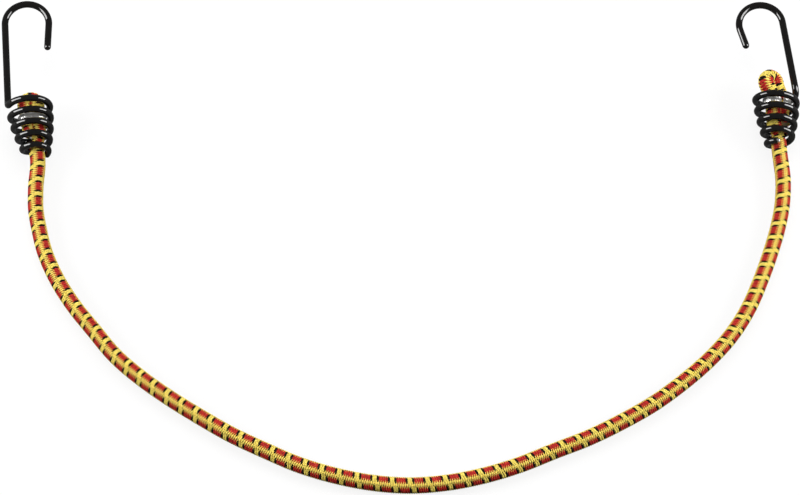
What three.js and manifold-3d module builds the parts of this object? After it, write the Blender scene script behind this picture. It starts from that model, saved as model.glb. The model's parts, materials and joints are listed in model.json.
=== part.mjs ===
// Bungee cord: a rubber core in a braided sheath, with a coated wire hook wound on to each folded end.
// Millimetres, +Z up. The origin lies under the middle of the cord, on the surface that the cord lies on.
// +X points to the right hook, and +Y from the middle of the cord to the two hooks.

import * as THREE from "three";
import { mergeVertices } from "three/addons/utils/BufferGeometryUtils.js";
import Module from "manifold-3d";

const wasm = await Module();
wasm.setup();

const degrees = Math.PI / 180;
const weldDistance = 1e-4; // points nearer than this are one point

// Cord
const cordDiameter = 8;
const sheathWall = 1.1;
const coreClearance = 0.2; // from the sheath's bore to the rubber core
const cordFlatDepth = 0.8; // how much the cord's underside is cut flat
const cordSides = 12;
const cordStep = 16; // length of cord from one section to the next
const faceGap = 0.3; // between two stretches of cord that meet face to face

// Hook wire and its vinyl coating
const wireDiameter = 2.1;
const coatingClearance = 0.1;
const coatingWall = 0.6;
const wireSides = 8;

// Coil of the hook, which narrows towards the cord
const coilTurns = 4.6;
const coilPitch = 6.1;
const coilWideRadius = 10.5; // to the middle of the wire
const coilNarrowRadius = 5.7;
const coilBell = 1.8; // over 1, the first turns stay wide and the last ones close in
const coilTilt = 9 * degrees; // the coil lies on its tapered side, so the hook points up a little
const coilFlatDepth = 0.5; // how much the coil's underside is cut flat
const stepsPerTurn = 10;

// Hook
const elbowRadius = 4;
const elbowSteps = 4;
const hookLean = 6.5 * degrees; // of the shank towards the tip
const bendRadius = 11.2;
const bendSteps = 11; // an odd number, so that one flat facet sits in the crown
const tipLatitudes = [75 * degrees, 45 * degrees]; // of the rings that round off the tip

// Folded end of the cord, inside the coil
const coilFit = 0.35; // between the coil's bore and what lies in it
const brimFit = 1.2; // the same, where the fold comes out at the wide end
const legGap = 0.5; // between the two legs of the fold
const foldHalfHeight = 4.2;
const tailDepth = 17; // of the cut end, from the coil's wide end
const throatLength = 3; // by which the fold reaches out of the narrow end
const foldSteps = 8; // sections round the fold's half turn

// Clamp round both legs of the fold
const clampWidth = 3.4;
const clampThickness = 0.9;
const clampFit = 0.3;
const clampOpening = 1.5; // gap between the clamp's two ends
const clampSegments = 12;

// Left end: the middle of the coil's wide end, the hook's shank and tip, how far the fold stands out of
// the coil and leans away from the shank, and how deep the clamp sits
const leftX = -193.2;
const leftY = 217;
const leftShank = 47;
const leftTip = 12.9;
const leftFoldRise = 6.2;
const leftFoldLean = 1.1;
const leftClampDepth = 8.7;

// Right end
const rightX = 186.7;
const rightY = 223.4;
const rightShank = 41;
const rightTip = 9;
const rightFoldRise = 12.8;
const rightFoldLean = 2.4;
const rightClampDepth = 5;

// The two ends, each with its turn on the table, its roll about its own axis, how far the bend turns past
// a half turn, how far the wire goes on after the coil's turns, and the fold's own roll inside the coil.
const ends = [
  {
    side: "left", x: leftX, y: leftY, yaw: 10.8 * degrees, roll: 0,
    shankLength: leftShank, tipLength: leftTip, tipClosing: 5 * degrees, extraTurn: 0,
    foldRise: leftFoldRise, foldLean: leftFoldLean, foldRoll: 0, clampDepth: leftClampDepth,
  },
  {
    side: "right", x: rightX, y: rightY, yaw: 1.2 * degrees, roll: Math.PI,
    shankLength: rightShank, tipLength: rightTip, tipClosing: 9 * degrees, extraTurn: 0.12,
    foldRise: rightFoldRise, foldLean: rightFoldLean, foldRoll: 28 * degrees, clampDepth: rightClampDepth,
  },
];

// The cord's run over the table from the left hook to the right one, chosen by hand: x, y, and how far
// the cord is lifted off the table.
const cordRun = [
  [-187.8, 170, 1.9],
  [-187.2, 158, 0.8],
  [-184.9, 146, 0.2],
  [-182, 134.5, 0],
  [-175, 117.5, 0],
  [-166, 102, 0],
  [-155.2, 87.2, 0],
  [-144, 72.5, 0],
  [-131, 60, 0],
  [-116.5, 48.5, 0],
  [-101.5, 38, 0],
  [-86, 28, 0],
  [-70, 19.5, 0],
  [-53.5, 11.5, 0],
  [-36, 5.5, 0],
  [-18, 1.5, 0],
  [0, 0, 0],
  [18, 1.5, 0],
  [36, 5.5, 0],
  [53.5, 11.5, 0],
  [70, 19, 0],
  [86.8, 26.4, 0],
  [103, 35.3, 0],
  [118.6, 45.3, 0],
  [132.8, 56.8, 0],
  [146.2, 69.6, 0],
  [158, 83.8, 0],
  [167.4, 99.6, 0],
  [174.5, 116.5, 0],
  [180.6, 134, 0],
  [184.7, 148, 0.2],
  [187.4, 161, 0.8],
  [188.5, 174, 1.9],
];
const straightRun = 3; // by which the cord leaves the coil along the coil's own axis
const leftBendPoint = 12; // number of the point in cordRun where the left leg begins to swing
const rightBendPoint = 20;

const cordRadius = cordDiameter / 2;
const cordHeight = cordRadius - cordFlatDepth; // of the cord's middle over the table
const boreRadius = cordRadius - sheathWall;
const coreRadius = boreRadius - coreClearance;
const wireRadius = wireDiameter / 2;
const coatingBore = wireRadius + coatingClearance;
const hookRadius = coatingBore + coatingWall;
const coilLength = coilTurns * coilPitch;
const throatDepth = coilLength + throatLength;

// Materials

const braidedYarn = () => new THREE.MeshStandardMaterial({ color: 0xeecb35, roughness: 0.85, metalness: 0 });
const naturalRubber = () => new THREE.MeshStandardMaterial({ color: 0xd9c7a0, roughness: 0.9, metalness: 0 });
const blackVinyl = () => new THREE.MeshStandardMaterial({ color: 0x1c1919, roughness: 0.2, metalness: 0 });
const drawnSteel = () => new THREE.MeshStandardMaterial({ color: 0xb4b6b8, roughness: 0.4, metalness: 1 });
const platedSteel = () => new THREE.MeshStandardMaterial({ color: 0xc9c8c5, roughness: 0.25, metalness: 1 });

function piece(name, geometry, material) {
  const mesh = new THREE.Mesh(geometry, material);
  mesh.name = name;
  return mesh;
}

// Solids

// Joins rings of points, each to the next, into one closed body. A loop also joins the last ring to the
// first, and otherwise both ends are closed by a fan.
function loft(rings, loop = false) {
  const sides = rings[0].length;
  const points = rings.flat();
  const faces = [];
  const bands = loop ? rings.length : rings.length - 1;
  for (let ring = 0; ring < bands; ring++) {
    const here = ring * sides;
    const next = ((ring + 1) % rings.length) * sides;
    for (let side = 0; side < sides; side++) {
      const beside = (side + 1) % sides;
      faces.push(here + side, here + beside, next + beside);
      faces.push(here + side, next + beside, next + side);
    }
  }
  if (!loop) {
    const last = (rings.length - 1) * sides;
    for (let side = 1; side < sides - 1; side++) {
      faces.push(0, side + 1, side);
      faces.push(last, last + side, last + side + 1);
    }
  }
  const geometry = new THREE.BufferGeometry().setFromPoints(points);
  geometry.setIndex(facingOut(points, faces));
  geometry.computeVertexNormals();
  return geometry;
}

// Turns every face round if they enclose a negative volume.
function facingOut(points, faces) {
  let volume = 0;
  for (let face = 0; face < faces.length; face += 3) {
    const [a, b, c] = [0, 1, 2].map((corner) => points[faces[face + corner]]);
    volume += a.dot(b.clone().cross(c));
  }
  return volume < 0 ? faces.reverse() : faces;
}

function solidOf(geometry) {
  const bare = geometry.clone();
  bare.deleteAttribute("normal");
  bare.deleteAttribute("uv");
  const merged = mergeVertices(bare, weldDistance);
  const vertProperties = new Float32Array(merged.getAttribute("position").array);
  const triVerts = new Uint32Array(merged.index.array);
  return new wasm.Manifold(new wasm.Mesh({ numProp: 3, vertProperties, triVerts }));
}

function geometryOf(solid) {
  const mesh = solid.getMesh();
  const geometry = new THREE.BufferGeometry();
  geometry.setAttribute("position", new THREE.BufferAttribute(mesh.vertProperties, 3));
  geometry.setIndex(new THREE.BufferAttribute(mesh.triVerts, 1));
  geometry.computeVertexNormals();
  return geometry;
}

// Cuts off what lies below the table, for a shape that stands at the given place.
function cutFlat(geometry, place = new THREE.Matrix4()) {
  const standing = geometry.clone().applyMatrix4(place);
  standing.computeBoundingBox();
  const { min, max } = standing.boundingBox;
  const margin = cordDiameter;
  const block = new THREE.BoxGeometry(max.x - min.x + margin, max.y - min.y + margin, margin);
  block.translate((min.x + max.x) / 2, (min.y + max.y) / 2, -margin / 2);
  const cut = geometryOf(solidOf(standing).subtract(solidOf(block)));
  return cut.applyMatrix4(place.clone().invert());
}

// Hook. In its own frame the coil's axis is Y, with the wide end at the origin, the cord towards -Y and
// the hook towards +Y. The shank is on the -X side and the tip on the +X side.

function coilRadius(turn) {
  const share = Math.min(turn / coilTurns, 1);
  return coilWideRadius - (coilWideRadius - coilNarrowRadius) * share ** coilBell;
}

function coilPoint(turn) {
  const angle = 2 * Math.PI * turn;
  const radius = coilRadius(turn);
  return new THREE.Vector3(-radius * Math.cos(angle), -coilPitch * turn, radius * Math.sin(angle));
}

// Free radius inside the coil at a depth from its wide end, to the middle of its straight steps.
function coilBore(depth) {
  const turn = THREE.MathUtils.clamp(depth / coilPitch, 0, coilTurns);
  return coilRadius(turn) * Math.cos(Math.PI / stepsPerTurn) - hookRadius;
}

function coilPoints(firstTurn, lastTurn, perTurn) {
  const steps = Math.ceil((lastTurn - firstTurn) * perTurn);
  return Array.from({ length: steps + 1 }, (_, step) =>
    coilPoint(THREE.MathUtils.lerp(firstTurn, lastTurn, step / steps)),
  );
}

// The wire's middle line, from the tip over the bend and the shank to the end of the coil.
function hookLine({ shankLength, tipLength, tipClosing, extraTurn }) {
  const along = new THREE.Vector3(Math.sin(hookLean), Math.cos(hookLean), 0);
  const across = new THREE.Vector3(Math.cos(hookLean), -Math.sin(hookLean), 0);
  const foot = new THREE.Vector3(-coilWideRadius, 0, 0);
  const bendCentre = foot.clone().addScaledVector(along, shankLength).addScaledVector(across, bendRadius);
  const bend = Array.from({ length: bendSteps + 1 }, (_, step) => {
    const angle = (Math.PI + tipClosing) * (1 - step / bendSteps);
    return bendCentre
      .clone()
      .addScaledVector(across, -bendRadius * Math.cos(angle))
      .addScaledVector(along, bendRadius * Math.sin(angle));
  });
  const towardsTip = along
    .clone()
    .multiplyScalar(-Math.cos(tipClosing))
    .addScaledVector(across, -Math.sin(tipClosing));
  const tip = bend[0].clone().addScaledVector(towardsTip, tipLength);

  const elbowTurn = elbowRadius / (2 * Math.PI * coilWideRadius);
  const elbowStart = foot.clone().addScaledVector(along, elbowRadius);
  const elbowEnd = coilPoint(elbowTurn);
  const smallTurn = elbowTurn / 100;
  const coilWay = coilPoint(elbowTurn + smallTurn).sub(elbowEnd).normalize();
  const reach = elbowRadius * 0.55; // of a Bezier handle that gives a round quarter turn
  const elbow = new THREE.CubicBezierCurve3(
    elbowStart,
    elbowStart.clone().addScaledVector(along, -reach),
    elbowEnd.clone().addScaledVector(coilWay, -reach),
    elbowEnd,
  );
  const elbowPoints = elbow.getPoints(elbowSteps).slice(0, -1);
  const coil = coilPoints(elbowTurn, coilTurns + extraTurn, stepsPerTurn);
  return [tip, ...bend, ...elbowPoints, ...coil];
}

// A frame at each point of a line, turned as little as possible from one to the next. The first two
// directions lie in the hook's plane, so one facet of each section faces the inside of the bend.
function framesAlong(line) {
  let normal = null;
  return line.map((point, index) => {
    const before = line[Math.max(index - 1, 0)];
    const after = line[Math.min(index + 1, line.length - 1)];
    const into = point.clone().sub(before).normalize();
    const out = after.clone().sub(point).normalize();
    const tangent = into.add(out).normalize();
    normal ??= new THREE.Vector3(0, 0, 1).cross(tangent);
    normal = normal.clone().addScaledVector(tangent, -normal.dot(tangent)).normalize();
    return { point, tangent, normal, binormal: tangent.clone().cross(normal) };
  });
}

// A round section of the wire. The offset moves it along the wire.
function wireRing({ point, tangent, normal, binormal }, radius, offset = 0) {
  return Array.from({ length: wireSides }, (_, side) => {
    const angle = ((side + 0.5) * 2 * Math.PI) / wireSides;
    return point
      .clone()
      .addScaledVector(tangent, offset)
      .addScaledVector(normal, radius * Math.cos(angle))
      .addScaledVector(binormal, radius * Math.sin(angle));
  });
}

function hookWire(frames) {
  return loft(frames.map((frame) => wireRing(frame, wireRadius)));
}

// A sleeve that is closed and round at the tip and open at the end of the coil.
function hookCoating(frames) {
  const tip = frames[0];
  const roundTip = tipLatitudes.map((latitude) =>
    wireRing(tip, hookRadius * Math.cos(latitude), -hookRadius * Math.sin(latitude)),
  );
  const outside = frames.map((frame) => wireRing(frame, hookRadius));
  const inside = frames.map((frame) => wireRing(frame, coatingBore)).reverse();
  const boreEnd = wireRing(tip, coatingBore, -coatingClearance);
  return loft([...roundTip, ...outside, ...inside.slice(0, -1), boreEnd]);
}

// Least distance between two turns of the coil, surface to surface.
function leastCoilGap() {
  const perTurn = 48;
  const points = coilPoints(0, coilTurns, perTurn);
  let least = Infinity;
  for (let a = 0; a < points.length; a++) {
    for (let b = a + perTurn / 2; b < points.length; b++) {
      least = Math.min(least, points[a].distanceTo(points[b]) - 2 * hookRadius);
    }
  }
  return least;
}

// Folded end of the cord. Its two legs lie side by side along X, in the same frame as the hook.

// One leg's distance from the axis and half its width, where both legs fill a given half width.
function legOf(halfWidth) {
  return { offset: (halfWidth + legGap / 2) / 2, halfWidth: (halfWidth - legGap / 2) / 2 };
}

// Half the width of both legs where the clamp sits, so that the clamp's narrower edge clears the coil.
function clampReach(clampDepth) {
  return coilBore(clampDepth + clampWidth / 2) - coilFit - clampThickness - clampFit;
}

// Sections from the coil's narrow end round the fold to the cut end. Each lies in the plane of a
// direction out from the axis and of Z, at a place on the axis.
function foldSections({ foldRise, foldLean, clampDepth }) {
  const throatRadius = Math.min(cordRadius, coilBore(coilLength) - coilFit);
  const brimReach = coilBore(0) - brimFit;
  const brimDepth = brimReach - foldRise;
  const atDepth = (depth, lean = 0) => new THREE.Vector3(lean, -depth, 0);
  const right = new THREE.Vector3(1, 0, 0);
  const left = new THREE.Vector3(-1, 0, 0);
  const single = (depth, radius) => ({
    centre: atDepth(depth), out: right, offset: 0, halfWidth: radius, halfHeight: radius,
  });
  const doubled = (depth, out, reach, lean) => ({
    centre: atDepth(depth, lean), out, halfHeight: foldHalfHeight, ...legOf(reach),
  });
  const legStops = [
    [tailDepth, coilBore(tailDepth) - coilFit],
    [clampDepth + clampWidth, clampReach(clampDepth)],
    [clampDepth - clampWidth, clampReach(clampDepth)],
  ];
  const mainLeg = legStops.map(([depth, reach]) => doubled(depth, right, reach));
  const tailLeg = legStops.map(([depth, reach]) => doubled(depth, left, reach)).reverse();
  const bight = Array.from({ length: foldSteps + 1 }, (_, step) => {
    const angle = (Math.PI * step) / foldSteps;
    const out = new THREE.Vector3(Math.cos(angle), Math.sin(angle), 0);
    return doubled(brimDepth, out, brimReach, foldLean);
  });
  const throat = [single(throatDepth, cordRadius), single(coilLength, throatRadius)];
  return [...throat, ...mainLeg, ...bight, ...tailLeg];
}

function foldRing(section, inset) {
  return Array.from({ length: cordSides }, (_, side) => {
    const angle = (side * 2 * Math.PI) / cordSides;
    const distance = section.offset + (section.halfWidth - inset) * Math.cos(angle);
    const point = section.centre.clone().addScaledVector(section.out, distance);
    point.z += (section.halfHeight - inset) * Math.sin(angle);
    return point;
  });
}

function foldSheath(sections) {
  const outside = sections.map((section) => foldRing(section, 0));
  const inside = sections.map((section) => foldRing(section, sheathWall)).reverse();
  return loft([...outside, ...inside], true);
}

function foldCore(sections) {
  return loft(sections.map((section) => foldRing(section, sheathWall + coreClearance)));
}

// A band round both legs, flat above and below, and open underneath where its two ends meet.
function foldClamp(clampDepth) {
  const leg = legOf(clampReach(clampDepth));
  const line = (clearance) => {
    const width = leg.halfWidth + clearance;
    const height = foldHalfHeight + clearance;
    const rightSide = new THREE.EllipseCurve(leg.offset, 0, width, height, -Math.PI / 2, Math.PI / 2);
    const leftSide = new THREE.EllipseCurve(-leg.offset, 0, width, height, Math.PI / 2, (3 * Math.PI) / 2);
    const ends = [1, -1].map((way) => new THREE.Vector2((way * clampOpening) / 2, -height));
    return [ends[0], ...rightSide.getPoints(clampSegments), ...leftSide.getPoints(clampSegments), ends[1]];
  };
  const band = new THREE.Shape([...line(clampFit + clampThickness), ...line(clampFit).reverse()]);
  const geometry = new THREE.ExtrudeGeometry(band, { depth: clampWidth, bevelEnabled: false });
  geometry.rotateX(Math.PI / 2);
  geometry.translate(0, clampWidth / 2 - clampDepth, 0);
  return geometry;
}

// One end of the cord, set down so that the coil just lies on the table.
function makeEnd(end) {
  const { side, x, y, yaw, roll, foldRoll, clampDepth } = end;
  const group = new THREE.Group();
  group.rotation.set(coilTilt, roll, yaw, "ZXY");
  const heights = coilPoints(0, coilTurns, stepsPerTurn).map((point) => point.applyEuler(group.rotation).z);
  group.position.set(x, y, hookRadius - coilFlatDepth - Math.min(...heights));
  group.updateMatrixWorld(true);

  const frames = framesAlong(hookLine(end));
  const sections = foldSections(end);
  const coating = cutFlat(hookCoating(frames), group.matrixWorld);
  group.add(piece(`${side}_hook_coating`, coating, blackVinyl()));
  group.add(piece(`${side}_hook_wire`, hookWire(frames), drawnSteel()));

  const fold = new THREE.Group();
  fold.rotation.y = foldRoll;
  fold.add(piece(`${side}_fold_sheath`, foldSheath(sections), braidedYarn()));
  fold.add(piece(`${side}_fold_core`, foldCore(sections), naturalRubber()));
  fold.add(piece(`${side}_clamp`, foldClamp(clampDepth), platedSteel()));
  group.add(fold);
  return group;
}

// Free cord, from one coil to the other

// A point on an end's axis, this far out of the fold's face.
function pastThroat(group, distance) {
  return group.localToWorld(new THREE.Vector3(0, -throatDepth - distance, 0));
}

function makeRoute(leftEnd, rightEnd) {
  const onTable = cordRun.map(([x, y, lift]) => new THREE.Vector3(x, y, cordHeight + lift));
  const outOf = (group) => [pastThroat(group, faceGap), pastThroat(group, straightRun)];
  return new THREE.CatmullRomCurve3([...outOf(leftEnd), ...onTable, ...outOf(rightEnd).reverse()]);
}

// The part of a curve between two of its parameters.
class Stretch extends THREE.Curve {
  constructor(route, from, to) {
    super();
    Object.assign(this, { route, from, to });
  }

  getPoint(share, target = new THREE.Vector3()) {
    return this.route.getPoint(THREE.MathUtils.lerp(this.from, this.to, share), target);
  }
}

function roundOutline(radius) {
  return Array.from({ length: cordSides }, (_, side) => {
    const angle = (side * 2 * Math.PI) / cordSides;
    return new THREE.Vector2(radius * Math.cos(angle), radius * Math.sin(angle));
  });
}

function alongStretch(shape, stretch) {
  const steps = Math.ceil(stretch.getLength() / cordStep);
  return new THREE.ExtrudeGeometry(shape, { steps, extrudePath: stretch, bevelEnabled: false });
}

function stretchSheath(stretch) {
  const tube = new THREE.Shape(roundOutline(cordRadius));
  tube.holes.push(new THREE.Path(roundOutline(boreRadius)));
  return cutFlat(alongStretch(tube, stretch));
}

function stretchCore(stretch) {
  return alongStretch(new THREE.Shape(roundOutline(coreRadius)), stretch);
}

function makeCord(route) {
  const group = new THREE.Group();
  const pointsBefore = 2; // the two points on the left end's axis come first in the route
  const parameter = (number) => (number + pointsBefore) / (route.points.length - 1);
  const halfGap = faceGap / 2 / route.getLength();
  const leftCut = parameter(leftBendPoint);
  const rightCut = parameter(rightBendPoint);
  const stretches = {
    left_leg: new Stretch(route, 0, leftCut - halfGap),
    middle: new Stretch(route, leftCut + halfGap, rightCut - halfGap),
    right_leg: new Stretch(route, rightCut + halfGap, 1),
  };
  for (const [name, stretch] of Object.entries(stretches)) {
    group.add(piece(`${name}_sheath`, stretchSheath(stretch), braidedYarn()));
    group.add(piece(`${name}_core`, stretchCore(stretch), naturalRubber()));
  }
  return group;
}

const [leftEnd, rightEnd] = ends.map(makeEnd);
const route = makeRoute(leftEnd, rightEnd);
const bungeeCord = new THREE.Group();
bungeeCord.add(leftEnd, rightEnd, makeCord(route));

console.log(`free cord, coil to coil: ${route.getLength().toFixed(1)} mm`);
console.log(`least gap between turns of a hook's coil: ${leastCoilGap().toFixed(2)} mm`);

export default bungeeCord;
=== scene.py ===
# %% [markdown]
# # A bungee cord with two coated hooks
#
# A bungee cord is a bundle of rubber strands in a braided sheath. Each end is folded back on itself,
# held by a small steel clamp, and a hook of coated wire is wound round the fold. This lesson makes what
# the eye sees of it: sixteen yarns that really pass over and under one another, smooth glossy hooks and
# soft studio light. The CAD model is the frame underneath: the folds, clamps and hooks made here ride on
# its bodies, and the free cord follows the run of the CAD cord.
#
# All sizes are in millimetres until a mesh is made, and only there they become metres.

# %% Load the frame
import json
import math

import bpy
import numpy as np
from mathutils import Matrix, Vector


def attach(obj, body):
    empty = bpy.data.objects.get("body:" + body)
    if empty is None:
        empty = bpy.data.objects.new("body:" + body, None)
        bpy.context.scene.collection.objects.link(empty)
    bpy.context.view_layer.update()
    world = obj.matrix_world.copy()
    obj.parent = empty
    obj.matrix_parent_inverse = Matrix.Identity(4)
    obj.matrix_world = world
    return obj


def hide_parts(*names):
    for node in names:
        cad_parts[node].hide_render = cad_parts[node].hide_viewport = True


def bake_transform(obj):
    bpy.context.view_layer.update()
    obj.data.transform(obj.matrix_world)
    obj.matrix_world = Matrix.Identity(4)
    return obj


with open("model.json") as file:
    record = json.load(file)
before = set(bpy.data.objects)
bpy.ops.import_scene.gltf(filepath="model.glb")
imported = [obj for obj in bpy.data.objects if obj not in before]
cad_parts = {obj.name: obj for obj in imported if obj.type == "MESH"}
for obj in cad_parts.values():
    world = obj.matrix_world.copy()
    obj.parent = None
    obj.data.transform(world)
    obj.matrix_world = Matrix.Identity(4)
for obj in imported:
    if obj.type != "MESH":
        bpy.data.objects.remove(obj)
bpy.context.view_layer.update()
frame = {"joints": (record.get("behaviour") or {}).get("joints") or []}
joints = {joint["name"]: joint for joint in frame["joints"]}

MM = 0.001
UP = np.array([0.0, 0.0, 1.0])

# %% [markdown]
# ## The camera
#
# The camera comes first, because everything is judged through it. A short lens close by would make the near
# part of the cord look thick. A long lens from two metres away keeps both hooks nearly the same size, as in
# the picture that is followed.

# %% Set up the camera
LOOK_AT = (-4.5, 138.3, 0.0)
CAMERA_DISTANCE = 2000
CAMERA_ELEVATION = math.radians(57.4)
LENS = 180
SENSOR_WIDTH = 36


def add_object(name, data):
    """A new object in the scene."""
    thing = bpy.data.objects.new(name, data)
    bpy.context.scene.collection.objects.link(thing)
    return thing


camera = add_object("camera", bpy.data.cameras.new("camera"))
camera.data.lens = LENS
camera.data.sensor_width = SENSOR_WIDTH
towards_camera = Vector((0, -math.cos(CAMERA_ELEVATION), math.sin(CAMERA_ELEVATION)))
camera.location = (Vector(LOOK_AT) + towards_camera * CAMERA_DISTANCE) * MM
camera.rotation_euler = towards_camera.to_track_quat("Z", "Y").to_euler()
bpy.context.scene.camera = camera
print("camera at", [round(place, 3) for place in camera.location])

# %% [markdown]
# ## Colours and nodes
#
# A colour picked from a picture is an sRGB value, and Blender's shaders work with linear light. One
# function converts the one into the other. Another one adds a shader node, sets it and links it. Materials
# could also be clicked together in the shader editor, but written down they can be read and repeated.

# %% Small helpers for materials


def linear(hex_colour):
    """An sRGB colour such as #f0cf3c as the linear values that shaders use."""
    parts = [int(hex_colour[start:start + 2], 16) / 255 for start in (1, 3, 5)]
    light = [part / 12.92 if part <= 0.04045 else ((part + 0.055) / 1.055) ** 2.4 for part in parts]
    return (*light, 1.0)


def add_node(tree, kind, links=None, values=None, **settings):
    """A new shader node with its settings, its plain input values and the outputs that feed it."""
    node = tree.nodes.new("ShaderNode" + kind)
    for name, setting in settings.items():
        setattr(node, name, setting)
    for name, value in (values or {}).items():
        node.inputs[name].default_value = value
    for name, output in (links or {}).items():
        tree.links.new(output, node.inputs[name])
    return node


def new_material(name, **values):
    """A material, its node tree and its shader, with the shader's own values set."""
    material = bpy.data.materials.new(name)
    material.use_nodes = True
    tree = material.node_tree
    shader = tree.nodes["Principled BSDF"]
    for socket, value in values.items():
        shader.inputs[socket.replace("_", " ")].default_value = value
    return material, tree, shader


print("sRGB #808080 is", round(linear("#808080")[0], 3), "in linear light")

# %% [markdown]
# ## Helpers for shapes
#
# Nearly every piece here is a line with a section swept along it. Three helpers are enough: a smooth line
# through a few chosen points, a skin over rings of points, and a function that turns the result into a
# mesh. Curve objects could do the same for plain tubes, but a braid needs yarns that swell and dive, so
# all pieces use the same rings.

# %% Draw a smooth line
SAMPLES_PER_ROW = 20


def unit(vectors):
    """Vectors made one long."""
    return vectors / np.linalg.norm(vectors, axis=-1, keepdims=True)


def reach_of(line):
    """How far along a line each of its points is."""
    steps = np.linalg.norm(np.diff(line[:, :3], axis=0), axis=1)
    return np.concatenate(([0.0], np.cumsum(steps)))


def smooth_line(rows, spacing):
    """An evenly spaced smooth line through rows that begin with x, y, z. Further columns go with it."""
    rows = np.array(rows, float)
    reach = reach_of(rows)
    slope = np.gradient(rows, reach, axis=0)
    fine = np.linspace(0, reach[-1], SAMPLES_PER_ROW * len(rows) + 1)
    row = np.clip(np.searchsorted(reach, fine, "right") - 1, 0, len(rows) - 2)
    gap = (reach[row + 1] - reach[row])[:, None]
    share = (fine - reach[row])[:, None] / gap
    line = (
        rows[row] * (1 + 2 * share) * (1 - share) ** 2
        + rows[row + 1] * (3 - 2 * share) * share ** 2
        + slope[row] * gap * share * (1 - share) ** 2
        - slope[row + 1] * gap * share ** 2 * (1 - share)
    )
    length = reach_of(line)
    even = np.linspace(0, length[-1], round(length[-1] / spacing) + 1)
    return np.stack([np.interp(even, length, column) for column in line.T], axis=1)


test_line = smooth_line([(0, 0, 0), (5, 5, 0), (10, 0, 0)], 1)
print(f"a line over a small hill measures {reach_of(test_line)[-1]:.1f} mm")

# %% Make a mesh from rings


def skin(rings):
    """Points and faces of a closed skin over rings of points, with both ends closed."""
    count, sides = rings.shape[:2]
    ring, side = np.meshgrid(np.arange(count - 1), np.arange(sides), indexing="ij")
    here = ring * sides
    beside = (side + 1) % sides
    faces = np.stack([here + side, here + beside, here + sides + beside, here + sides + side], axis=-1)
    ends = [list(range(sides))[::-1], list(range((count - 1) * sides, count * sides))]
    return rings.reshape(-1, 3), faces.reshape(-1, 4).tolist() + ends


def new_piece(name, points, faces, materials):
    """A smooth mesh object from points in millimetres."""
    mesh = bpy.data.meshes.new(name)
    mesh.from_pydata((points * MM).tolist(), [], faces)
    mesh.shade_smooth()
    piece = add_object(name, mesh)
    for material in materials:
        mesh.materials.append(material)
    return piece


print("a skin over two rings of four points has", len(skin(np.zeros((2, 4, 3)))[1]), "faces")

# %% [markdown]
# ## Where the two ends are
#
# Each end swivels about the axis of its hook's coil, so the frame's swivel joints say where the coils are
# and which way they point. In an end's own coordinates x points from the shank to the tip, y runs along
# the axis towards the hook, and the coil's wide end is at the origin. The two ends are alike but not the
# same, so each has its own sizes.

# %% Place the two ends
# handed: 1 where the tip lies to the right of the shank, and -1 where it lies to the left
# shank, tip: lengths of the straight parts
# closing: degrees by which the bend goes on after half a turn
# extra_turn: the share of a turn by which the coil goes on at its narrow end
# rise, lean: how far the fold stands out of the coil, and how far its dome leans to the tip's side
# aside, clamp: how far the fold lies to one side in the coil, and how deep its clamp sits
# roll, twist: degrees by which the fold is rolled about the axis, and the braid about the fold
HOOKS = {
    "left": {
        "handed": 1, "shank": 47, "tip": 12.9, "closing": 5, "extra_turn": 0,
        "rise": 6.2, "lean": 1.1, "aside": 0.5, "clamp": 8.7, "roll": 0, "twist": 0,
    },
    "right": {
        "handed": -1, "shank": 41, "tip": 9, "closing": 9, "extra_turn": 0.12,
        "rise": 12.8, "lean": 2.4, "aside": -0.4, "clamp": 5, "roll": 28, "twist": 15,
    },
}


class End:
    """Where one end of the cord is, and which way it points. A roll lifts the side of the tip."""

    def __init__(self, side, roll=0.0):
        swivel = joints[side + "_swivel"]
        self.origin = np.array(swivel["pos_m"]) / MM
        self.axis = unit(np.array(swivel["axis"]))
        level = unit(np.cross(self.axis, UP)) * HOOKS[side]["handed"]
        upright = unit(UP - self.axis * self.axis[2])
        self.to_tip = level * math.cos(roll) + upright * math.sin(roll)
        self.up = upright * math.cos(roll) - level * math.sin(roll)

    def place(self, points):
        """Points in the end's own coordinates, put where the end is."""
        points = np.array(points, float)
        turned = np.stack([self.to_tip, self.axis, np.cross(self.to_tip, self.axis)])
        return self.origin + points @ turned


ENDS = {side: End(side) for side in HOOKS}
for side, end in ENDS.items():
    print(side, "coil at", end.origin.round(1))

# %% [markdown]
# ## The run of the cord
#
# The free cord lies on the table in a wide U. A simulation could let it fall there, but its run is known:
# the points are the ones of the CAD model, x, y and how far the cord is lifted on its way into the coil.
# The CAD cord is flat underneath and this one is round, so its middle lies higher where it rests on the
# table. A cord that is laid out by hand is always twisted a little, here more towards its ends.

# %% Describe a cord
CORD_RADIUS = 4.0
LINE_STEP = 0.5
# in a tight fold the yarns neither shrink nor spread beyond these shares
SPREAD_LIMITS = (0.4, 2)


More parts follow.
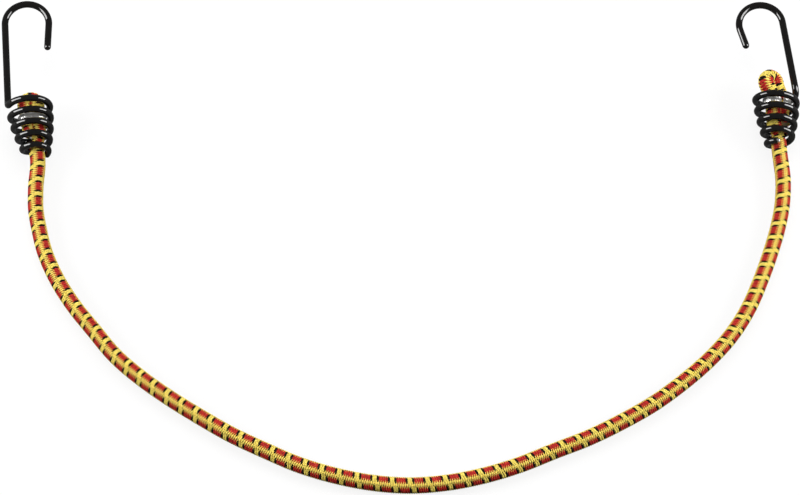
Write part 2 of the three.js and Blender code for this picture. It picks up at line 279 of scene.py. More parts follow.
class Cord:
    """A cord's middle line with its half height, half width and twist all along."""

    def __init__(self, rows, up):
        line = smooth_line(rows, LINE_STEP)
        self.reach = reach_of(line)
        way = unit(np.gradient(line[:, :3], self.reach, axis=0))
        self.up = unit(up - way * (way @ up)[:, None])
        self.inner = np.cross(self.up, way)
        self.line = line

    def at(self, columns, reach):
        """What some columns say at places along the cord."""
        return np.stack([np.interp(reach, self.reach, column) for column in columns.T], axis=-1)

    def place(self, reach, turn, radius):
        """Points so far along the cord, round from its top and out from its middle, and the way out."""
        here = self.at(self.line, reach)
        tall = here[..., 3] / CORD_RADIUS
        wide = here[..., 4] / CORD_RADIUS
        turn = turn + here[..., 5]
        up = self.at(self.up, reach)
        inner = self.at(self.inner, reach)
        height = np.cos(turn)
        width = np.sin(turn)
        upwards = (radius * tall * height)[..., None]
        inwards = (radius * wide * width)[..., None]
        out = unit(up * (height / tall)[..., None] + inner * (width / wide)[..., None])
        return here[..., :3] + up * upwards + inner * inwards, out

    def spread(self, reach, turn, radius):
        """How much longer the cord is there than along its middle, as on the outside of a bend."""
        ahead, _ = self.place(reach + LINE_STEP, turn, radius)
        behind, _ = self.place(reach - LINE_STEP, turn, radius)
        return np.clip(np.linalg.norm(ahead - behind, axis=-1) / (2 * LINE_STEP), *SPREAD_LIMITS)


print(f"a cord of {2 * CORD_RADIUS:.0f} mm, drawn every {LINE_STEP} mm")

# %% Lay out the cord
CAD_CORD_HEIGHT = 3.2
LIFT_AT_COIL = 1.9
COIL_TURNS = 4.6
COIL_PITCH = 6.1
COIL_LENGTH = COIL_TURNS * COIL_PITCH
STRAIGHT_RUN = 2
MIDDLE_TURN = math.radians(14)
END_TURN = math.radians(27)
# the higher, the nearer to the ends the twist stays
TURN_POWER = 4
CORD_RUN = [
    (-187.8, 170, 1.9), (-187.2, 158, 0.8), (-184.9, 146, 0.2), (-182, 134.5, 0), (-175, 117.5, 0),
    (-166, 102, 0), (-155.2, 87.2, 0), (-144, 72.5, 0), (-131, 60, 0), (-116.5, 48.5, 0),
    (-101.5, 38, 0), (-86, 28, 0), (-70, 19.5, 0), (-53.5, 11.5, 0), (-36, 5.5, 0), (-18, 1.5, 0),
    (0, 0, 0), (18, 1.5, 0), (36, 5.5, 0), (53.5, 11.5, 0), (70, 19, 0), (86.8, 26.4, 0),
    (103, 35.3, 0), (118.6, 45.3, 0), (132.8, 56.8, 0), (146.2, 69.6, 0), (158, 83.8, 0),
    (167.4, 99.6, 0), (174.5, 116.5, 0), (180.6, 134, 0), (184.7, 148, 0.2), (187.4, 161, 0.8),
    (188.5, 174, 1.9),
]


def height_on_table(lift):
    """The height of the cord's middle, which is the CAD cord's own once it is lifted to the coil."""
    rounder = (CORD_RADIUS - CAD_CORD_HEIGHT) * (1 - lift / LIFT_AT_COIL)
    return CAD_CORD_HEIGHT + lift + rounder


def out_of_coil(end):
    """Two points straight out of a coil's narrow end."""
    return end.place([(0, -COIL_LENGTH, 0), (0, -COIL_LENGTH - STRAIGHT_RUN, 0)])


def free_cord_rows():
    """The free cord's line from coil to coil: x, y, z, half height, half width, twist."""
    on_table = [(x, y, height_on_table(lift)) for x, y, lift in CORD_RUN]
    places = np.vstack([out_of_coil(ENDS["left"]), on_table, out_of_coil(ENDS["right"])[::-1]])
    outwards = places[:, 0] / np.abs(places[:, 0]).max()
    turns = MIDDLE_TURN + (END_TURN - MIDDLE_TURN) * outwards ** TURN_POWER
    return np.column_stack([places, np.full((len(places), 2), CORD_RADIUS), turns])


free_cord = Cord(free_cord_rows(), UP)
CORD_LENGTH = free_cord.reach[-1]
print(f"free cord: {CORD_LENGTH:.1f} mm from coil to coil")

# %% [markdown]
# ## The yarn materials
#
# The sheath is braided from textured polyester yarn, dyed yellow, red and black. Such yarn looks soft
# because each one is a bundle of fine filaments. A picture of cloth could be laid on the cord, but it would
# not follow the yarns. Here the braid stores where each point lies along and across its yarn, and a noise
# that is drawn out along the yarn gives the filaments.

# %% Make the yarn materials
# a real yarn has some hundred filaments, too fine to show, so they are drawn coarser
FILAMENTS_ROUND_YARN = 20
STREAK_LENGTH = 3
FILAMENT_RELIEF = 0.05
# noise hardly leaves this range, which is drawn out to the full contrast
NOISE_RANGE = (0.35, 0.65)


def yarn_material(name, colour, dark_colour, sheen):
    """Matt dyed yarn: streaks of light and dark run along it, and a little sheen softens its edges."""
    material, tree, shader = new_material(
        name, Roughness=0.75, Specular_IOR_Level=0.1, Sheen_Weight=sheen, Sheen_Roughness=0.4,
    )
    fibre = add_node(tree, "Attribute", attribute_name="fibre")
    stretched = add_node(
        tree, "Mapping", {"Vector": fibre.outputs["Vector"]},
        {"Scale": (1 / STREAK_LENGTH, FILAMENTS_ROUND_YARN, 1.0)},
    )
    streaks = add_node(
        tree, "TexNoise", {"Vector": stretched.outputs["Vector"]}, {"Scale": 1.0, "Detail": 2.0},
    )
    filaments = add_node(
        tree, "MapRange", {"Value": streaks.outputs["Fac"]},
        {"From Min": NOISE_RANGE[0], "From Max": NOISE_RANGE[1]},
    )
    shades = add_node(
        tree, "Mix", {0: filaments.outputs["Result"]},
        {6: linear(dark_colour), 7: linear(colour)}, data_type="RGBA",
    )
    bump = add_node(
        tree, "Bump", {"Height": filaments.outputs["Result"]},
        {"Strength": 0.5, "Distance": FILAMENT_RELIEF * MM},
    )
    tree.links.new(shades.outputs[2], shader.inputs["Base Color"])
    tree.links.new(bump.outputs["Normal"], shader.inputs["Normal"])
    return material


YARNS = {
    "yellow": yarn_material("polyester_yarn_dyed_yellow", "#ffec78", "#d9bb42", 0.15),
    "red": yarn_material("polyester_yarn_dyed_red", "#d43329", "#82150f", 0.06),
    "black": yarn_material("polyester_yarn_dyed_black", "#250f08", "#020101", 0.0),
}
print("yarns:", ", ".join(YARNS))

# %% [markdown]
# ## The braid
#
# Eight yarns wind one way and eight the other, each going over two and under two. One way carries the
# colours: black, four red, black, two yellow. The other way is all yellow. That is why the red shows as
# blocks with toothed sides, in columns where the coloured yarns are on top. Every yarn is a flattened tube
# that rises to the top of a column and dives under the next one. It could be faked by a bump map, but then
# the edge of the cord would be smooth, and it is not.
#
# A yarn is followed by its turn round the cord. On top it lies more square to the cord than underneath, so
# it goes along the cord unevenly. The steps crowd where the yarn is on top and its bends are seen.

# %% Wind a yarn round a cord
# along the cord for one turn of a yarn
LEAD = 8.6
YARNS_EACH_WAY = 8
COLUMNS = YARNS_EACH_WAY // 2
# the place among the yarns that is the middle of the red ones
RED_MIDDLE = 2.5
# a sway of this length along the cord lays a yarn quite square where it is on top
SWAY = LEAD / (2 * COLUMNS * math.pi)
FLOAT_SQUARE = 0.9
STEPS_CROWD = 0.6
# where along the cord the braid is packed a little further on, and by how much
SHIFT_AT = [-60, -38, 3, 93, 153, 273, 393, 523, 593]
SHIFT = [9, 5.0, 2.5, 4.85, 4.7, 6.3, 5.95, 1.6, 0.7]


def turn_at(along, number, hand):
    """How far round the cord a yarn is, were it wound evenly. The coloured way has the hand -1."""
    first = number - RED_MIDDLE if hand < 0 else number
    start = first * LEAD / YARNS_EACH_WAY
    return hand * 2 * math.pi * (along - np.interp(along, SHIFT_AT, SHIFT) - start) / LEAD


def wind(steps, number, hand):
    """How far round the cord and how far along it a yarn is, for even steps."""
    crowded = steps + STEPS_CROWD * SWAY * np.sin(COLUMNS * turn_at(steps, number, hand))
    turn = turn_at(crowded, number, hand)
    return turn, crowded + FLOAT_SQUARE * SWAY * np.sin(COLUMNS * turn)


print(f"{COLUMNS} columns round the cord, a yarn every {LEAD / YARNS_EACH_WAY:.2f} mm")

# %% Shape a yarn
# above 0 the columns of the coloured way are wider than the others
COLUMN_BIAS = 0.34
# how far from the cord's middle a yarn lies, and how far it rises and dives from there
YARN_PLACE = 3.63
YARN_DIVE = 0.14
# the higher, the longer a yarn stays level between its top and its dive
DIVE_POWER = 3
YARN_HALF_THICKNESS = 0.28
# half the width of a yarn under the others and on top of them, for the coloured way and the other
YARN_WIDTHS = {-1: (0.38, 0.56), 1: (0.14, 0.47)}
YARN_SIDES = 6
STEPS_PER_LEAD = 48


def yarn_rings(cord, first, last, number, hand, swell):
    """Sections of one yarn between two places along a cord."""
    count = math.ceil((last - first) / LEAD * STEPS_PER_LEAD) + 1
    steps = np.linspace(first - LEAD, last + LEAD, count)
    _, along = wind(steps, number, hand)
    steps = np.linspace(*np.interp([first, last], along, steps), count)
    turn, along = wind(steps, number, hand)

    wave = np.cos(COLUMNS * turn) + COLUMN_BIAS
    on_top = -hand * wave / (1 + COLUMN_BIAS * np.sign(wave))
    middle, out = cord.place(along, turn, YARN_PLACE + YARN_DIVE * on_top ** DIVE_POWER)
    way = unit(np.gradient(middle, axis=0))
    across = unit(np.cross(way, out))
    out = np.cross(across, way)

    under, over = YARN_WIDTHS[hand]
    rise = 0.5 + 0.5 * np.sin(on_top * math.pi / 2)
    half_width = swell * (under + (over - under) * rise ** 2) * cord.spread(along, turn, YARN_PLACE)
    # the first corner is underneath, where the seam of the filaments doesn't show
    angle = (np.arange(YARN_SIDES) / YARN_SIDES - 0.25) * 2 * math.pi
    sideways = half_width[:, None] * np.cos(angle)
    outwards = YARN_HALF_THICKNESS * np.sin(angle)
    return middle[:, None] + across[:, None] * sideways[..., None] + out[:, None] * outwards[:, None]


test_yarn = yarn_rings(free_cord, 0, LEAD, 0, 1, 1)
print("one turn of a yarn has", len(test_yarn), "sections of", YARN_SIDES, "points")

# %% Braid all yarns
COLOURED = ["black", "red", "red", "red", "red", "black", "yellow", "yellow"]
BLACK_SWELL = 1.25
# every yarn has its filaments from another place in the noise
OWN_NOISE = 10.0
OTHER_WAY_NOISE = 200.0


def braid(name, cord, first, last):
    """The sheath of a cord between two places along it."""
    points, faces, colours, fibre = [], [], [], []
    for hand in (-1, 1):
        for number in range(YARNS_EACH_WAY):
            colour = COLOURED[number] if hand < 0 else "yellow"
            swell = BLACK_SWELL if colour == "black" else 1
            rings = yarn_rings(cord, first, last, number, hand, swell)
            skin_points, skin_faces = skin(rings)
            before = sum(map(len, points))
            points.append(skin_points)
            faces += [[corner + before for corner in face] for face in skin_faces]
            colours += [list(YARNS).index(colour)] * len(skin_faces)
            lengthways = np.repeat(reach_of(rings[:, 0]), YARN_SIDES)
            crossways = np.tile(np.arange(YARN_SIDES) / YARN_SIDES, len(rings))
            own = np.full(len(skin_points), OWN_NOISE * number + OTHER_WAY_NOISE * (hand > 0))
            fibre.append(np.column_stack([lengthways, crossways, own]))
    piece = new_piece(name, np.vstack(points), faces, YARNS.values())
    piece.data.polygons.foreach_set("material_index", colours)
    attribute = piece.data.attributes.new("fibre", "FLOAT_VECTOR", "POINT")
    attribute.data.foreach_set("vector", np.vstack(fibre).astype(np.float32).ravel())
    return piece


print("coloured way:", ", ".join(COLOURED))

# %% [markdown]
# ## The rubber core
#
# Inside the sheath lies a bundle of thin rubber strands. It hardly shows, but it closes the small gaps
# between the yarns and it is what one sees at the cut end. Every strand could be swept by itself, but only
# the outside of the bundle can ever be seen, so a lobed tube stands for it.

# %% Make the rubber
# the powder on rubber is finer than this, and drawn coarser to show
POWDER_SPECK = 0.6

# extruded natural rubber, dusted with powder: a dull cream that is a little uneven
natural_rubber, rubber_tree, rubber_shader = new_material("extruded_natural_rubber", Roughness=0.6)
rubber_place = add_node(rubber_tree, "TexCoord").outputs["Object"]
powder = add_node(
    rubber_tree, "TexNoise", {"Vector": rubber_place}, {"Scale": 1 / (POWDER_SPECK * MM), "Detail": 3.0},
)
rubber_shades = add_node(
    rubber_tree, "Mix", {0: powder.outputs["Fac"]},
    {6: linear("#c9b48a"), 7: linear("#e2d3ae")}, data_type="RGBA",
)
rubber_tree.links.new(rubber_shades.outputs[2], rubber_shader.inputs["Base Color"])
print(natural_rubber.name, "with specks of", POWDER_SPECK, "mm")

# %% Sweep a core
CORE_RADIUS = 3.05
CORE_STEP = 2
STRANDS = 14
STRAND_GROOVE = 0.18
SIDES_PER_STRAND = 4


def rubber_core(name, cord, first, last):
    """The rubber inside a cord between two places along it."""
    along = np.linspace(first, last, math.ceil((last - first) / CORE_STEP) + 1)[:, None]
    turn = np.linspace(0, 2 * math.pi, STRANDS * SIDES_PER_STRAND, endpoint=False)[None, :]
    lobes = CORE_RADIUS - STRAND_GROOVE * (1 - np.abs(np.cos(turn * STRANDS / 2)))
    along, turn, lobes = np.broadcast_arrays(along, turn, lobes)
    rings, _ = cord.place(along, turn, lobes)
    points, faces = skin(rings)
    return new_piece(name, points, faces, [natural_rubber])


print("a core of", STRANDS, "strands")

# %% [markdown]
# ## The free cord
#
# The free cord moves in two ways: each leg swings about a place near the middle, and each leg stretches.
# An armature could bend one long mesh, but here a mesh may bend between two bodies only, so the cord is
# made in four parts. They meet where neither motion has begun, so no crack can open, and the yarns run on
# from part to part.

# %% Find places along the free cord
# how far the bend spreads to both sides of a hinge
SWING_REACH = 48
# what stays still between a bend and a stretch
STILL_REACH = 3


def nearest_reach(point):
    """How far along the free cord a point of the frame is."""
    distance = np.linalg.norm(free_cord.line[:, :2] - np.array(point)[:2] / MM, axis=1)
    return free_cord.reach[np.argmin(distance)]


left_bend = nearest_reach(joints["left_flex"]["pos_m"])
right_bend = nearest_reach(joints["right_flex"]["pos_m"])
middle_reach = nearest_reach((0, 0, 0))
left_seam = left_bend - SWING_REACH - STILL_REACH
right_seam = right_bend + SWING_REACH + STILL_REACH
print(f"the parts meet at {left_seam:.0f}, {middle_reach:.0f} and {right_seam:.0f} mm along the cord")


def cord_part(name, first, last, replaced):
    """One part of the free cord from one place along it to another, with the CAD pieces it replaces hidden.
    """
    sheath = braid(name + "_sheath", free_cord, first, last)
    core = rubber_core(name + "_core", free_cord, first, last)
    for piece in (sheath, core):
        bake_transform(piece)
    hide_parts(*[node + "_sheath" for node in replaced])
    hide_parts(*[node + "_core" for node in replaced])
    print(f"{name}: {last - first:.0f} mm of cord, {len(sheath.data.polygons)} faces of yarn")


cord_part(
    "left_upper_cord", 0, left_seam,
    ["left_leg"],
)
cord_part(
    "left_lower_cord", left_seam, middle_reach,
    ["middle"],
)
cord_part(
    "right_lower_cord", middle_reach, right_seam,
    [],
)
cord_part(
    "right_upper_cord", right_seam, CORD_LENGTH,
    ["right_leg"],
)

# %% [markdown]
# ## The folded ends
#
# Inside the coil the cord turns back on itself, so two legs lie side by side and the fold stands out of
# the coil's wide end as a small dome. A soft body could be squeezed into the coil, but the room in there is
# known, so the line is drawn by its sizes. It is the same cord, only flatter: its middle line runs up one
# leg, round the fold and down the other, and the same braid is laid round it.

# %% Find the room inside the coil
HOOK_RADIUS = 1.75
COIL_WIDE = 10.5
COIL_NARROW = 5.7
# above 1 the coil tapers like a bell, more and more towards its narrow end
COIL_BELL = 1.8
# the CAD coil is drawn in straight steps, which take a little of its bore
CAD_STEPS_PER_TURN = 10
COIL_FIT = 0.35
CLAMP_WIDTH = 3.4
CLAMP_THICKNESS = 0.9
CLAMP_FIT = 0.3
# by how much the two legs are pressed into one another
LEGS_PRESSED = 2.2


def coil_radius(turn):
    """The radius of the wire's middle line, so many turns from the wide end."""
    return COIL_WIDE - (COIL_WIDE - COIL_NARROW) * np.minimum(turn / COIL_TURNS, 1) ** COIL_BELL


def coil_bore(depth):
    """Free radius inside the coil, as in the CAD model."""
    turn = np.clip(depth / COIL_PITCH, 0, COIL_TURNS)
    return coil_radius(turn) * math.cos(math.pi / CAD_STEPS_PER_TURN) - HOOK_RADIUS


def clamp_reach(depth):
    """Half the width that the clamp leaves to both legs."""
    return coil_bore(depth + CLAMP_WIDTH / 2) - COIL_FIT - CLAMP_THICKNESS - CLAMP_FIT


def leg_of(reach):
    """One leg's distance from the axis and half its width, where both legs fill a given half width."""
    return (reach - LEGS_PRESSED / 2) / 2, (reach + LEGS_PRESSED / 2) / 2


print(f"free radius inside the coil: {coil_bore(0):.1f} to {coil_bore(COIL_LENGTH):.1f} mm")

# %% Draw the fold
FOLD_HALF_HEIGHT = 4.2
BRIM_FIT = 1.2
TAIL_DEPTH = 17
# the cord is squeezed to the coil's narrow end within this length
THROAT_RUN = 3
DOME_ROWS = 13


def fold_rows(side):
    """The fold's line from the coil's narrow end to the cut end, in the columns of the free cord."""
    hook = HOOKS[side]
    level = END_TURN + math.radians(hook["roll"])
    twist = level + math.radians(hook["twist"])
    throat = min(CORD_RADIUS, coil_bore(COIL_LENGTH) - COIL_FIT)
    inlet = [
        (0, -COIL_LENGTH, 0, CORD_RADIUS, CORD_RADIUS, level),
        (0, -COIL_LENGTH + THROAT_RUN, 0, throat, throat, level),
    ]
    stops = [(TAIL_DEPTH, coil_bore(TAIL_DEPTH) - COIL_FIT)]
    stops += [(hook["clamp"] + step, clamp_reach(hook["clamp"])) for step in (CLAMP_WIDTH, -CLAMP_WIDTH)]

    def leg(hand):
        """Rows up one leg, on the tip's side of the axis for 1 and on the other for -1."""
        rows = []
        for depth, reach in stops:
            offset, width = leg_of(reach)
            rows.append((hook["aside"] + hand * offset, -depth, 0, FOLD_HALF_HEIGHT, width, twist))
        return rows

    brim_reach = coil_bore(0) - BRIM_FIT
    offset, width = leg_of(brim_reach)
    dome = []
    for angle in np.linspace(0, math.pi, DOME_ROWS):
        x = hook["lean"] + offset * math.cos(angle)
        y = hook["rise"] - brim_reach + offset * math.sin(angle)
        dome.append((x, y, 0, FOLD_HALF_HEIGHT, width, twist))
    return np.array(inlet + leg(1) + dome + leg(-1)[::-1], float)


print("rows in a fold's line:", len(fold_rows("left")))

# %% Make the folds
FOLD_ENDS = {side: End(side, math.radians(hook["roll"])) for side, hook in HOOKS.items()}
for side, end in FOLD_ENDS.items():
    rows = fold_rows(side)
    rows[:, :3] = end.place(rows[:, :3])
    # the left fold comes before the free cord and the right one after it, and the yarns run on
    if side == "left":
        rows = rows[::-1]
    fold = Cord(rows, end.up)
    fold_length = fold.reach[-1]
    fold.reach += CORD_LENGTH if side == "right" else -fold_length
    sheath = braid(side + "_fold_braid", fold, fold.reach[0], fold.reach[-1])
    core = rubber_core(side + "_fold_rubber", fold, fold.reach[0], fold.reach[-1])
    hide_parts(side + "_fold_sheath")
    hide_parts(side + "_fold_core")
    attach(sheath, side + "_end")
    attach(core, side + "_end")
    print(f"{side} fold: {fold_length:.0f} mm of cord")

# %% [markdown]
# ## The clamps
#
# A strip of plated steel is pressed round both legs of the fold. Only a bit of it shows between two turns
# of the coil. A flat strip with a bevel modifier would do, but a section that is nearly square has the
# round edges at once. They matter, because a strip that was tumbled and plated has no sharp edge, and the
# thin highlight along it tells the eye that it is metal.

# %% Make the plated steel
PRESS_MARK = 0.8
PRESS_DEPTH = 0.5

# pressed steel with zinc plating: a bright grey whose small dents break up what it mirrors
plated_steel, plated_tree, plated_shader = new_material(
    "zinc_plated_pressed_steel", Metallic=0.9, Base_Color=linear("#f0efec"), Roughness=0.36,
)
plated_place = add_node(plated_tree, "TexCoord").outputs["Object"]
press_marks = add_node(
    plated_tree, "TexNoise", {"Vector": plated_place}, {"Scale": 1 / (PRESS_MARK * MM), "Detail": 0.5},
)
dents = add_node(
    plated_tree, "Bump", {"Height": press_marks.outputs["Fac"]},
    {"Strength": 0.6, "Distance": PRESS_DEPTH * MM},
)
plated_tree.links.new(dents.outputs["Normal"], plated_shader.inputs["Normal"])
print(plated_steel.name, "with dents of", PRESS_MARK, "mm")

# %% Bend the clamps
CLAMP_OPENING = 1.5
CLAMP_POINTS_A_LEG = 25
CLAMP_SIDES = 24
# 1 would make the strip's section an oval, and 0 a sharp rectangle
CLAMP_ROUNDNESS = 0.35


def squarish(wave):
    """A wave with flatter tops, which turns a round section into a nearly square one."""
    return np.sign(wave) * np.abs(wave) ** CLAMP_ROUNDNESS


def clamp_rings(depth):
    """Sections of the strip from its opening underneath, round both legs and back."""
    offset, half_width = leg_of(clamp_reach(depth))
    width = half_width + CLAMP_FIT + CLAMP_THICKNESS / 2
    height = FOLD_HALF_HEIGHT + CLAMP_FIT + CLAMP_THICKNESS / 2
    angle = np.linspace(-math.pi / 2, math.pi / 2, CLAMP_POINTS_A_LEG)
    right = np.column_stack([offset + width * np.cos(angle), height * np.sin(angle)])
    line = np.vstack([(CLAMP_OPENING / 2, -height), right, -right, (-CLAMP_OPENING / 2, -height)])
    way = unit(np.gradient(line, axis=0))
    out = np.column_stack([way[:, 1], -way[:, 0]])
    turn = np.linspace(0, 2 * math.pi, CLAMP_SIDES, endpoint=False)
    thick = squarish(np.cos(turn)) * CLAMP_THICKNESS / 2
    deep = squarish(np.sin(turn)) * CLAMP_WIDTH / 2
    across = line[:, None] + out[:, None] * thick[None, :, None]
    depths = np.broadcast_to(deep - depth, across.shape[:2])
    return np.stack([across[..., 0], depths, across[..., 1]], axis=-1)


for side, end in FOLD_ENDS.items():
    points, faces = skin(clamp_rings(HOOKS[side]["clamp"]))
    points[:, 0] += HOOKS[side]["aside"]
    clamp = new_piece(side + "_clamp_strip", end.place(points), faces, [plated_steel])
    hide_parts(side + "_clamp")
    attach(clamp, side + "_end")
    print(f"{clamp.name}: {len(faces)} faces, {HOOKS[side]['clamp']} mm inside the coil")

# %% [markdown]
# ## The hooks
#
# Each hook is one steel wire: a tapering coil, an elbow, a straight shank and a bend with a short tip. It
# was dipped in black vinyl, which makes it glossy and rounds its tip. The wire was cut to length after
# that, so bare steel shows at the end of the coil. A curve object with a round bevel would be quicker, but
# the coating is hollow, and underneath the coil is cut a little flat, so that it stands on the table as the
# CAD model does. The line is worked out again from the CAD model's sizes with finer steps, because a glossy
# surface shows every facet.

# %% Make the hook materials
DIP_RIPPLE = 6
DIP_DEPTH = 0.2
SHEAR_MARK = 0.3
SHEAR_DEPTH = 0.05

# vinyl from a dip: a deep black with a wet gloss, and slow ripples that bend the highlights
black_vinyl, vinyl_tree, vinyl_shader = new_material(
    "dipped_black_vinyl", Base_Color=linear("#0b0908"), Roughness=0.06,
)
vinyl_place = add_node(vinyl_tree, "TexCoord").outputs["Object"]
dip = add_node(
    vinyl_tree, "TexNoise", {"Vector": vinyl_place}, {"Scale": 1 / (DIP_RIPPLE * MM), "Detail": 1.0},
)
ripples = add_node(
    vinyl_tree, "Bump", {"Height": dip.outputs["Fac"]}, {"Strength": 0.5, "Distance": DIP_DEPTH * MM},
)
vinyl_tree.links.new(ripples.outputs["Normal"], vinyl_shader.inputs["Normal"])

# drawn steel, cut by a shear: a bare grey spot whose torn face glints here and there
drawn_steel, steel_tree, steel_shader = new_material(
    "drawn_steel_wire", Metallic=1.0, Base_Color=linear("#c4c4c2"), Roughness=0.34,
)
steel_place = add_node(steel_tree, "TexCoord").outputs["Object"]
shear_marks = add_node(
    steel_tree, "TexNoise", {"Vector": steel_place}, {"Scale": 1 / (SHEAR_MARK * MM), "Detail": 2.0},
)
burr = add_node(
    steel_tree, "Bump", {"Height": shear_marks.outputs["Fac"]},
    {"Strength": 0.3, "Distance": SHEAR_DEPTH * MM},
)
steel_tree.links.new(burr.outputs["Normal"], steel_shader.inputs["Normal"])
print("hook materials:", black_vinyl.name, "and", drawn_steel.name)

# %% Draw the line of a hook
HOOK_LEAN = math.radians(6.5)
BEND_RADIUS = 11.2
ELBOW_RADIUS = 4
# a handle of this share of the radius makes a curve that is nearly a circle
ROUND_HANDLE = 0.55
COIL_STEPS_PER_TURN = 60
BEND_POINTS = 49
TIP_POINTS = 9
SHANK_POINTS = 17
ELBOW_POINTS = 13


def coil_line(hook):
    """The coil from the elbow at its wide end to the cut end of the wire."""
    first_turn = ELBOW_RADIUS / (2 * math.pi * COIL_WIDE)
    last_turn = COIL_TURNS + hook["extra_turn"]
    turn = np.linspace(first_turn, last_turn, round(last_turn * COIL_STEPS_PER_TURN))
    angle = 2 * math.pi * turn
    radius = coil_radius(turn)
    return np.stack([-radius * np.cos(angle), -COIL_PITCH * turn, radius * np.sin(angle)], axis=-1)


def elbow_line(start, along, coil):
    """The round elbow from the foot of the shank into the coil."""
    handle = ROUND_HANDLE * ELBOW_RADIUS
    first_handle = start - along * handle
    last_handle = coil[0] - unit(coil[1] - coil[0]) * handle
    share = np.linspace(0, 1, ELBOW_POINTS)[:-1, None]
    return (
        start * (1 - share) ** 3
        + 3 * first_handle * share * (1 - share) ** 2
        + 3 * last_handle * share ** 2 * (1 - share)
        + coil[0] * share ** 3
    )


def hook_line(hook):
    """The wire's middle line from the tip over the bend and the shank to the end of the coil."""
    closing = math.radians(hook["closing"])
    along = np.array([math.sin(HOOK_LEAN), math.cos(HOOK_LEAN), 0])
    across = np.array([math.cos(HOOK_LEAN), -math.sin(HOOK_LEAN), 0])
    foot = np.array([-COIL_WIDE, 0, 0])
    centre = foot + along * hook["shank"] + across * BEND_RADIUS
    angle = np.linspace(math.pi + closing, 0, BEND_POINTS)[:, None]
    bend = centre + BEND_RADIUS * (along * np.sin(angle) - across * np.cos(angle))
    to_tip = -along * math.cos(closing) - across * math.sin(closing)
    tip = bend[0] + to_tip * np.linspace(hook["tip"], 0, TIP_POINTS)[:-1, None]
    start = foot + along * ELBOW_RADIUS
    shank = bend[-1] + (start - bend[-1]) * np.linspace(0, 1, SHANK_POINTS)[1:-1, None]
    coil = coil_line(hook)
    return np.vstack([tip, bend, shank, elbow_line(start, along, coil), coil])


for side, hook in HOOKS.items():
    print(f"{side} hook: {reach_of(hook_line(hook))[-1]:.0f} mm of wire")

# %% Sweep a round wire
WIRE_SIDES = 20


def frames_along(line):
    """The way along a line at each point, and two ways across it that turn as little as possible."""
    way = unit(np.gradient(line, reach_of(line), axis=0))
    sideways = []
    normal = np.cross(UP, way[0])
    for step in way:
        normal = unit(normal - step * (normal @ step))
        sideways.append(normal)
    sideways = np.array(sideways)
    return way, sideways, np.cross(way, sideways)


def round_rings(middles, sideways, upwards, radii):
    """Circles round the points of a line."""
    turn = np.linspace(0, 2 * math.pi, WIRE_SIDES, endpoint=False)[None, :, None]
    around = sideways[:, None] * np.cos(turn) + upwards[:, None] * np.sin(turn)
    return middles[:, None] + around * np.asarray(radii)[:, None, None]


def cut_flat(points, height):
    """Points raised to at least a height above the table."""
    return np.maximum(points, (-np.inf, -np.inf, height))


print("a wire has", WIRE_SIDES, "sides")

# %% Make the hooks
COATING_BORE = 1.15
WIRE_RADIUS = 1.05
BARE_END = 1.1
# where the edge of the cut begins along the bare end, and how thick the wire is left there, as shares
CUT_EDGE_AT = 0.7
CUT_EDGE = 0.85
CAP_LATITUDES = np.radians(np.arange(85, 0, -10))
FLAT_HEIGHT = 0.02
# what is left of the coating above the flat, and of the gap above that
FLAT_WALL = 0.1


def coating_rings(end, line):
    """The coating's outside from its round tip to the end of the coil, and its bore all the way back."""
    way, sideways, upwards = frames_along(line)
    cap = line[0] - way[0] * HOOK_RADIUS * np.sin(CAP_LATITUDES)[:, None]
    cap_sides = [np.repeat(frames[:1], len(cap), axis=0) for frames in (sideways, upwards)]
    outside = np.vstack([
        round_rings(cap, *cap_sides, HOOK_RADIUS * np.cos(CAP_LATITUDES)),
        round_rings(line, sideways, upwards, np.full(len(line), HOOK_RADIUS)),
    ])
    bore = round_rings(line[::-1], sideways[::-1], upwards[::-1], np.full(len(line), COATING_BORE))
    return np.vstack([
        cut_flat(end.place(outside), FLAT_HEIGHT),
        cut_flat(end.place(bore), FLAT_HEIGHT + FLAT_WALL),
    ])


def wire_rings(end, line):
    """The steel wire inside the coating, with its bare end."""
    way, sideways, upwards = frames_along(line)
    bare = [line[-1] + way[-1] * BARE_END * share for share in (CUT_EDGE_AT, 1)]
    sides = [np.vstack([frames, frames[-1:], frames[-1:]]) for frames in (sideways, upwards)]
    radii = np.full(len(line) + len(bare), WIRE_RADIUS)
    radii[-1] *= CUT_EDGE
    rings = round_rings(np.vstack([line, *bare]), *sides, radii)
    return cut_flat(end.place(rings), FLAT_HEIGHT + 2 * FLAT_WALL)


for side, end in ENDS.items():
    line = hook_line(HOOKS[side])
    points, faces = skin(coating_rings(end, line))
    coating = new_piece(side + "_hook_dip", points, faces, [black_vinyl])
    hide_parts(side + "_hook_coating")
    points, faces = skin(wire_rings(end, line))
    wire = new_piece(side + "_hook_steel", points, faces, [drawn_steel])
    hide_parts(side + "_hook_wire")
    for piece in (coating, wire):
        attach(piece, side + "_hook")
        print(f"{piece.name}: {len(piece.data.polygons)} faces")

# %% [markdown]
# ## The floor
#
# The cord lies on white paper. Enough lamp light to burn the paper white would bleach the colours of the
# cord too. So the paper mixes plain white with its lit colour: the camera sees mostly the white, and the
# shadow stays in the rest. To the other rays the paper is grey, so it throws little light up at the cord.

# %% Make the floor
PAPER_SIZE = 8000
WHITE_SHARE = 0.85
MIRRORED_SHARE = 0.08


def white_share(tree, plain_share):
    """How much plain white a surface shows: much to the camera, some to mirrors, and little to the rest."""
    path = add_node(tree, "LightPath").outputs
    mirrored = add_node(
        tree, "Math", {0: path["Is Glossy Ray"], 1: path["Is Transmission Ray"]}, operation="ADD",
    )
    mirrors = add_node(
        tree, "Math", {0: mirrored.outputs[0]}, {1: MIRRORED_SHARE, 2: plain_share},
        operation="MULTIPLY_ADD",
    )
    share = add_node(
        tree, "Math", {0: path["Is Camera Ray"], 2: mirrors.outputs[0]}, {1: WHITE_SHARE},
        operation="MULTIPLY_ADD",
    )
    return share.outputs[0], path["Is Camera Ray"]


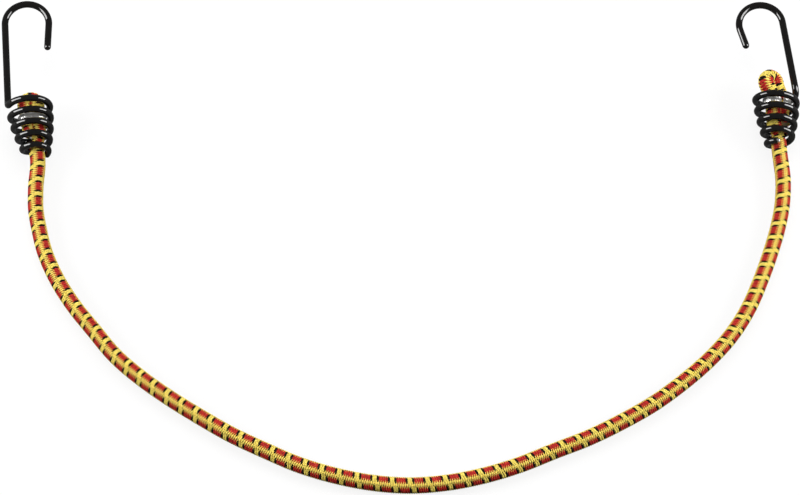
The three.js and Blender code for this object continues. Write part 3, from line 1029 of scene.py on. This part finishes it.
# matt uncoated paper: plain white to the eye, with a soft shadow and no gloss
paper, paper_tree, paper_shader = new_material("matt_white_paper", Roughness=0.9)
paper_glow = add_node(paper_tree, "Emission", values={"Strength": 1.0})
paper_white, camera_sees = white_share(paper_tree, 0)
paper_colour = add_node(
    paper_tree, "Mix", {0: camera_sees}, {6: linear("#444444"), 7: linear("#f4f4f4")}, data_type="RGBA",
)
paper_tree.links.new(paper_colour.outputs[2], paper_shader.inputs["Base Color"])
paper_mix = add_node(
    paper_tree, "MixShader", {0: paper_white, 1: paper_shader.outputs[0], 2: paper_glow.outputs[0]},
)
paper_tree.links.new(paper_mix.outputs[0], paper_tree.nodes["Material Output"].inputs["Surface"])

half = PAPER_SIZE / 2 * MM
corners = [(-half, -half, 0), (half, -half, 0), (half, half, 0), (-half, half, 0)]
floor_mesh = bpy.data.meshes.new("floor")
floor_mesh.from_pydata(corners, [], [range(4)])
floor_mesh.materials.append(paper)
floor = add_object("floor", floor_mesh)
print("paper of", PAPER_SIZE / 1000, "metres")

# %% [markdown]
# ## The light
#
# A softbox low on each side and one high at the back light the cord softly. The glossy wire would mirror
# them as broad pale patches, so it doesn't see them. It sees a strip on each side instead, and the strips
# light no matt surface. Every turn of the coil mirrors the two strips as two short white dashes, which
# make the wire look wet and round, and the dark part between them is the dim room. A photographer does
# the same with black and white cards.

# %% Light the room
ROOM_LIGHT = 0.13

world = bpy.data.worlds.new("white_room")
world.use_nodes = True
bpy.context.scene.world = world
room = world.node_tree
room_white, _ = white_share(room, ROOM_LIGHT)
room.links.new(room_white, room.nodes["Background"].inputs["Strength"])
room.nodes["Background"].inputs["Color"].default_value = (1, 1, 1, 1)
bpy.context.scene.view_settings.view_transform = "Standard"
print("room light:", ROOM_LIGHT)

# %% Set up the lamps
BOX_DISTANCE = 1100
BOX_ELEVATION = math.radians(24)
BOX_FORWARD = math.radians(5)
BOX_SIZE = 600
BOX_POWER = 10
STRIP_DISTANCE = 1000
STRIP_ELEVATION = math.radians(28)
STRIP_FORWARD = math.radians(-2)
STRIP_WIDTH = 560
STRIP_HEIGHT = 740
STRIP_POWER = 18
TOP_HEIGHT = 1500
TOP_BACK = 900
TOP_SIZE = 1200
TOP_POWER = 16


def softbox(name, towards, distance, width, height, power):
    """An area lamp that looks at the middle of the scene from the given way."""
    lamp = bpy.data.lights.new(name, "AREA")
    lamp.shape = "RECTANGLE"
    lamp.size = width * MM
    lamp.size_y = height * MM
    lamp.energy = power
    box = add_object(name, lamp)
    box.location = (Vector(LOOK_AT) + towards.normalized() * distance) * MM
    box.rotation_euler = towards.to_track_quat("Z", "Y").to_euler()
    return box


def to_lamp(way, forward, elevation):
    """The way to a lamp on the left for -1 or on the right for 1, turned forward and raised."""
    return Vector((way * math.cos(forward), -math.sin(forward), math.tan(elevation)))


for side, way in (("left", -1), ("right", 1)):
    to_box = to_lamp(way, BOX_FORWARD, BOX_ELEVATION)
    side_box = softbox(side + "_softbox", to_box, BOX_DISTANCE, BOX_SIZE, BOX_SIZE, BOX_POWER)
    side_box.visible_glossy = False
    to_strip = to_lamp(way, STRIP_FORWARD, STRIP_ELEVATION)
    strip = softbox(side + "_strip", to_strip, STRIP_DISTANCE, STRIP_WIDTH, STRIP_HEIGHT, STRIP_POWER)
    strip.visible_diffuse = False
to_top = Vector((0, TOP_BACK, TOP_HEIGHT))
top_box = softbox("top_softbox", to_top, TOP_HEIGHT, TOP_SIZE, TOP_SIZE, TOP_POWER)
top_box.visible_glossy = False
print("lamps:", ", ".join(lamp.name for lamp in bpy.data.lights))
